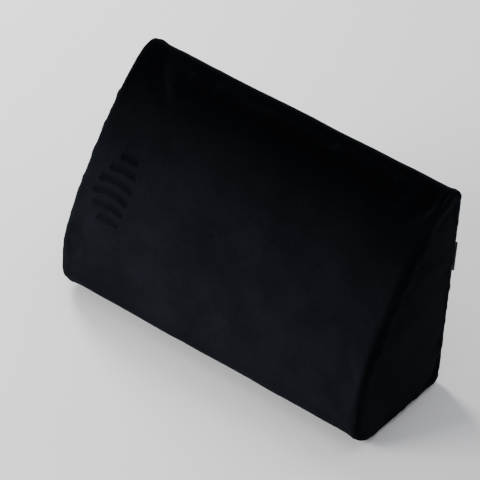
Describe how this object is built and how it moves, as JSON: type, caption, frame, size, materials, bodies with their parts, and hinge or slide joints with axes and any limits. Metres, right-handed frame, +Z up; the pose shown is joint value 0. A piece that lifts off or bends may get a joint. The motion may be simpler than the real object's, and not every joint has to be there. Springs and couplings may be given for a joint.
{
  "type": "lumbar support cushion",
  "caption": "D-section foam lumbar cushion in a zipped black velour cover, with an elastic strap, side-release buckle and strap adjuster across its flat back.",
  "frame": {"origin": "on the seat, under the middle of the cushion", "axes": "+X along the cushion's length, +Y towards the chair's backrest, +Z up; the belly faces -Y"},
  "size_m": [0.317, 0.134, 0.211],
  "materials": {
    "velour": "short black pile, knitted backing",
    "back_cloth": "black brushed knit",
    "foam": "pale yellow moulded foam, stood in for by fabric",
    "lining": "off-white plain knit",
    "webbing": "black woven elastic",
    "zip_tape": "black herringbone tape",
    "label": "black satin",
    "coil": "black nylon",
    "buckle": "black moulded acetal, fine texture",
    "zip_metal": "black enamel"
  },
  "bodies": {
    "cushion": {"foam_core": "foam", "liner_sleeve": "lining", "liner_end_left": "lining", "liner_end_right": "lining", "cover_front_wrap": "velour", "cover_end_left": "velour", "cover_end_right": "velour", "cover_back_upper": "back_cloth", "cover_back_lower": "back_cloth", "zip_tape_upper": "zip_tape", "zip_tape_lower": "zip_tape", "zip_coil_upper": "coil", "zip_coil_lower": "coil", "zip_top_stop_upper": "zip_metal", "zip_top_stop_lower": "zip_metal", "zip_bottom_stop": "zip_metal", "care_label": "label", "strap_short": "webbing", "strap_long": "webbing", "buckle_latch": "buckle"},
    "slider": {"zip_slider": "zip_metal"},
    "pull": {"zip_pull": "zip_metal"},
    "socket": {"buckle_socket": "buckle"},
    "prong_upper": {"latch_prong_upper": "buckle"},
    "prong_lower": {"latch_prong_lower": "buckle"},
    "adjuster": {"strap_adjuster": "buckle"}
  },
  "joints": [
    {"name": "zip_slide", "type": "slide", "parent": "cushion", "child": "slider", "axis": [1, 0, 0], "range_m": [-0.234, 0], "deforming": ["zip_coil_upper", "zip_coil_lower"]},
    {"name": "zip_pull_hinge", "type": "hinge", "parent": "slider", "child": "pull", "pos_m": [0.1181, 0.06485, 0.042], "axis": [0, 0, -1], "range_deg": [0, 175]},
    {"name": "buckle_release", "type": "slide", "parent": "cushion", "child": "socket", "axis": [1, 0, 0], "range_m": [0, 0.028], "deforming": ["strap_long", "latch_prong_upper", "latch_prong_lower"]},
    {"name": "prong_squeeze_upper", "type": "hinge", "parent": "cushion", "child": "prong_upper", "pos_m": [-0.0697, 0.0673, 0.1445], "axis": [0, 1, 0], "range_deg": [0, 11.5], "stiffness_Nm_per_rad": 0.5},
    {"name": "prong_squeeze_lower", "type": "hinge", "parent": "cushion", "child": "prong_lower", "pos_m": [-0.0697, 0.0673, 0.1235], "axis": [0, 1, 0], "range_deg": [-11.5, 0], "stiffness_Nm_per_rad": 0.5},
    {"name": "adjuster_slide", "type": "slide", "parent": "cushion", "child": "adjuster", "axis": [1, 0, 0], "range_m": [-0.04, 0.03], "deforming": ["strap_long"]}
  ],
  "couplings": [
    {"joint": "prong_squeeze_lower", "follows": "prong_squeeze_upper", "ratio": -1}
  ]
}
